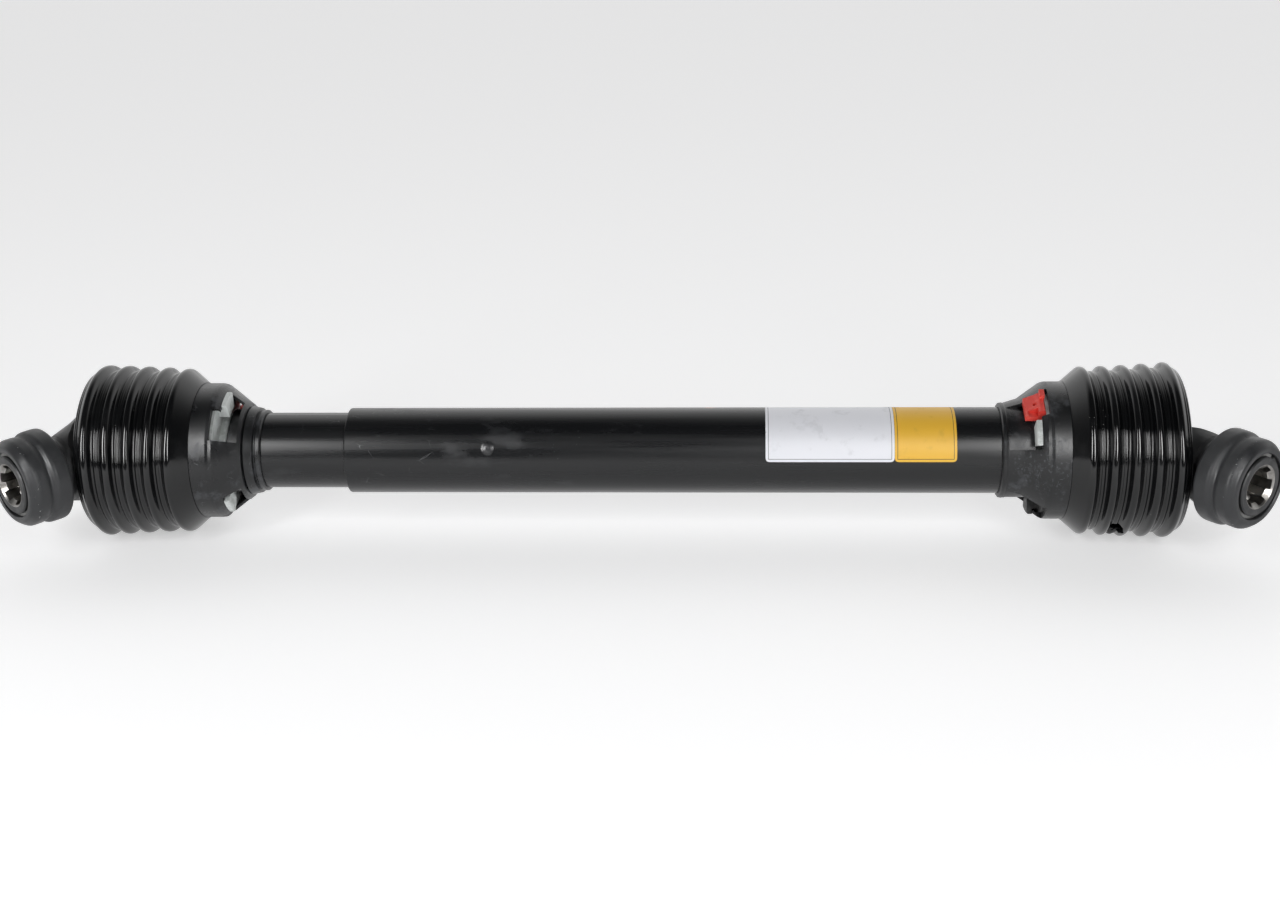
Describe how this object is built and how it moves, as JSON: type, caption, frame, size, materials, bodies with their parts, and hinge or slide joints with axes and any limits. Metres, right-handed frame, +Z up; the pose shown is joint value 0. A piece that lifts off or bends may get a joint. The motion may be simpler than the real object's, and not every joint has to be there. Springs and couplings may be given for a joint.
{
  "type": "pto drive shaft",
  "caption": "Telescopic power take-off drive shaft with guard tubes, ribbed bells, cross joints and splined pull-collar yokes.",
  "frame": {"origin": "centre of the box of the whole shaft, on the ground under it", "axes": "+X along the shaft towards the end with the larger guard tube, +Z up, and both end yokes swing towards -Y"},
  "size_m": [1.0874, 0.1764, 0.1487],
  "materials": {
    "guard_black": "satin, lightly scuffed",
    "bell_black": "soft and glossy",
    "nylon": "matt",
    "label_white": "matt film",
    "label_yellow": "matt film",
    "latch_red": "satin",
    "tube_steel": "drawn and oiled",
    "yoke_dark": "satin black paint, bare splines",
    "bright_steel": "ground",
    "seal_rubber": "matt",
    "fitting_brass": "plated",
    "collar_dark": "satin moulded"
  },
  "bodies": {
    "outer_guard": {"outer_guard_tube": "guard_black", "right_guard_base": "guard_black", "right_guard_bell": "bell_black", "right_guard_bearing": "nylon", "white_label": "label_white", "yellow_label": "label_yellow"},
    "inner_guard": {"inner_guard_tube": "guard_black", "left_guard_base": "guard_black", "left_neck_ring": "guard_black", "left_guard_bell": "bell_black", "left_guard_bearing": "nylon"},
    "outer_drive": {"outer_drive_tube": "tube_steel", "right_inner_yoke": "yoke_dark", "right_tube_pin": "bright_steel", "right_inner_cups": "bright_steel", "right_inner_rings": "bright_steel"},
    "inner_drive": {"inner_drive_tube": "tube_steel", "left_inner_yoke": "yoke_dark", "left_tube_pin": "bright_steel", "left_inner_cups": "bright_steel", "left_inner_rings": "bright_steel"},
    "right_cross": {"right_cross": "bright_steel", "right_grease_fitting": "fitting_brass", "right_seals": "seal_rubber"},
    "right_yoke": {"right_end_yoke": "yoke_dark", "right_outer_cups": "bright_steel", "right_outer_rings": "bright_steel", "right_collar_washer": "bright_steel", "right_collar_ring": "bright_steel", "right_collar_spring": "bright_steel"},
    "right_collar": {"right_lock_collar": "collar_dark"},
    "right_ball_1": {"right_ball_1": "bright_steel"},
    "right_ball_2": {"right_ball_2": "bright_steel"},
    "right_ball_3": {"right_ball_3": "bright_steel"},
    "right_latch": {"right_release_latch": "latch_red"},
    "left_cross": {"left_cross": "bright_steel", "left_grease_fitting": "fitting_brass", "left_seals": "seal_rubber"},
    "left_yoke": {"left_end_yoke": "yoke_dark", "left_outer_cups": "bright_steel", "left_outer_rings": "bright_steel", "left_collar_washer": "bright_steel", "left_collar_ring": "bright_steel", "left_collar_spring": "bright_steel"},
    "left_collar": {"left_lock_collar": "collar_dark"},
    "left_ball_1": {"left_ball_1": "bright_steel"},
    "left_ball_2": {"left_ball_2": "bright_steel"},
    "left_ball_3": {"left_ball_3": "bright_steel"},
    "left_latch": {"left_release_latch": "latch_red"}
  },
  "joints": [
    {"name": "right_guard_turn", "type": "hinge", "parent": "outer_guard", "child": "outer_drive", "pos_m": [0.36, 0.01326, 0.0738], "axis": [1, 0, 0], "continuous": true},
    {"name": "telescope", "type": "slide", "parent": "outer_drive", "child": "inner_drive", "axis": [-1, 0, 0], "range_m": [-0.06, 0.3]},
    {"name": "left_guard_turn", "type": "hinge", "parent": "inner_drive", "child": "inner_guard", "pos_m": [-0.36, 0.01326, 0.0738], "axis": [1, 0, 0], "continuous": true},
    {"name": "right_inner_hinge", "type": "hinge", "parent": "outer_drive", "child": "right_cross", "pos_m": [0.45, 0.01326, 0.0738], "axis": [0, 0.7786, 0.6275], "range_deg": [0, 72.6]},
    {"name": "right_outer_hinge", "type": "hinge", "parent": "right_cross", "child": "right_yoke", "pos_m": [0.45, 0.01326, 0.0738], "axis": [-0.5921, -0.5057, 0.6275], "range_deg": [0, 72.6]},
    {"name": "right_collar_slide", "type": "slide", "parent": "right_yoke", "child": "right_collar", "axis": [-0.6494, 0.7604, 0], "range_m": [0, 0.0045], "stiffness_N_per_m": 3000, "springref_m": -0.004, "deforming": ["right_collar_spring"]},
    {"name": "right_ball_1_slide", "type": "slide", "parent": "right_yoke", "child": "right_ball_1", "axis": [-0.7513, -0.6417, 0.1541], "range_m": [0, 0.00255]},
    {"name": "right_ball_2_slide", "type": "slide", "parent": "right_yoke", "child": "right_ball_2", "axis": [0.2742, 0.2342, -0.9327], "range_m": [0, 0.00255]},
    {"name": "right_ball_3_slide", "type": "slide", "parent": "right_yoke", "child": "right_ball_3", "axis": [0.4771, 0.4075, 0.7786], "range_m": [0, 0.00255]},
    {"name": "right_latch_press", "type": "slide", "parent": "outer_guard", "child": "right_latch", "axis": [0, 0.3665, -0.9304], "range_m": [0, 0.0025], "stiffness_N_per_m": 800, "springref_m": -0.002},
    {"name": "left_inner_hinge", "type": "hinge", "parent": "inner_drive", "child": "left_cross", "pos_m": [-0.45, 0.01326, 0.0738], "axis": [0, 0.7786, -0.6275], "range_deg": [0, 72.6]},
    {"name": "left_outer_hinge", "type": "hinge", "parent": "left_cross", "child": "left_yoke", "pos_m": [-0.45, 0.01326, 0.0738], "axis": [0.5921, -0.5057, -0.6275], "range_deg": [0, 72.6]},
    {"name": "left_collar_slide", "type": "slide", "parent": "left_yoke", "child": "left_collar", "axis": [0.6494, 0.7604, 0], "range_m": [0, 0.0045], "stiffness_N_per_m": 3000, "springref_m": -0.004, "deforming": ["left_collar_spring"]},
    {"name": "left_ball_1_slide", "type": "slide", "parent": "left_yoke", "child": "left_ball_1", "axis": [0.7513, -0.6417, -0.1541], "range_m": [0, 0.00255]},
    {"name": "left_ball_2_slide", "type": "slide", "parent": "left_yoke", "child": "left_ball_2", "axis": [-0.2742, 0.2342, 0.9327], "range_m": [0, 0.00255]},
    {"name": "left_ball_3_slide", "type": "slide", "parent": "left_yoke", "child": "left_ball_3", "axis": [-0.4771, 0.4075, -0.7786], "range_m": [0, 0.00255]},
    {"name": "left_latch_press", "type": "slide", "parent": "inner_guard", "child": "left_latch", "axis": [0, -0.9681, -0.2504], "range_m": [0, 0.0025], "stiffness_N_per_m": 800, "springref_m": -0.002}
  ],
  "couplings": [
    {"joint": "right_ball_1_slide", "follows": "right_collar_slide", "ratio": 0.5666},
    {"joint": "right_ball_2_slide", "follows": "right_collar_slide", "ratio": 0.5666},
    {"joint": "right_ball_3_slide", "follows": "right_collar_slide", "ratio": 0.5666},
    {"joint": "left_ball_1_slide", "follows": "left_collar_slide", "ratio": 0.5666},
    {"joint": "left_ball_2_slide", "follows": "left_collar_slide", "ratio": 0.5666},
    {"joint": "left_ball_3_slide", "follows": "left_collar_slide", "ratio": 0.5666}
  ]
}
